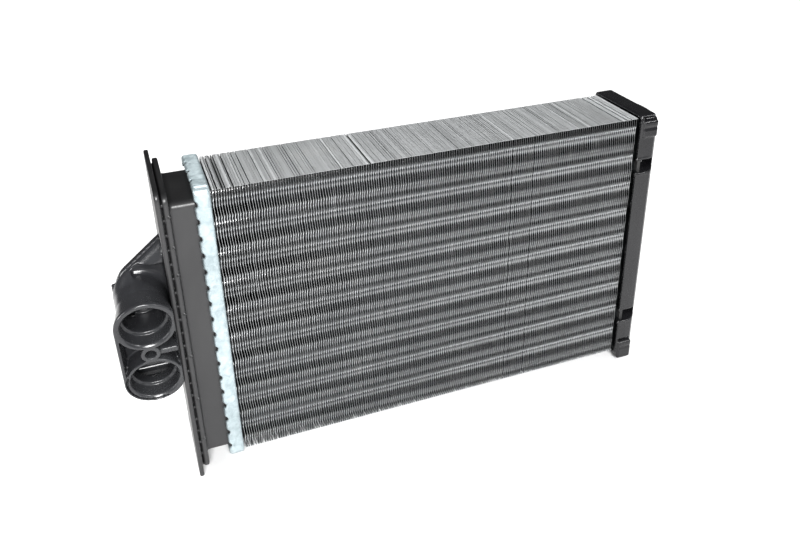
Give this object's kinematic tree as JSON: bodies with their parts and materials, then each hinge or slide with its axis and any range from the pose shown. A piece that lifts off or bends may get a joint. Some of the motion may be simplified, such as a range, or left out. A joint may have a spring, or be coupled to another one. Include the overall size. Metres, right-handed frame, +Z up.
{
  "type": "cabin heater core",
  "caption": "Plate-fin and round-tube heater core with a flanged, crimped plastic tank, side ports in a welded manifold and a clipped return tank; warms cabin air with engine coolant.",
  "frame": {"origin": "bottom centre of the bounding box, level with the lower edge of the inlet tank's outer flange", "axes": "+X runs along the tubes from the inlet tank to the return tank, +Y from the front of the core, which the ports face, to its back, +Z up"},
  "size_m": [0.305, 0.0686, 0.1695],
  "materials": {
    "fins": "rolled thin sheet, satin",
    "tubes": "drawn tube, satin",
    "turbulators": "natural moulded strip",
    "header": "zinc-coated sheet, mottled, satin",
    "gasket": "black moulded rubber",
    "tank_plastic": "glass-filled black plastic, satin, light scuffs",
    "port_plastic": "glass-filled black plastic, semi-gloss"
  },
  "bodies": {
    "root": {"fin_pack": "fins", "tube_front_1": "tubes", "tube_front_2": "tubes", "tube_front_3": "tubes", "tube_front_4": "tubes", "tube_front_5": "tubes", "tube_front_6": "tubes", "tube_front_7": "tubes", "tube_front_8": "tubes", "tube_front_9": "tubes", "tube_rear_1": "tubes", "tube_rear_2": "tubes", "tube_rear_3": "tubes", "tube_rear_4": "tubes", "tube_rear_5": "tubes", "tube_rear_6": "tubes", "tube_rear_7": "tubes", "tube_rear_8": "tubes", "tube_rear_9": "tubes", "turbulators_front": "turbulators", "turbulators_rear": "turbulators", "inlet_header": "header", "inlet_gasket": "gasket", "inlet_tank": "tank_plastic", "port_manifold": "port_plastic", "manifold_cover": "port_plastic", "return_header": "header", "return_gasket": "gasket", "return_tank": "tank_plastic"}
  },
  "joints": []
}
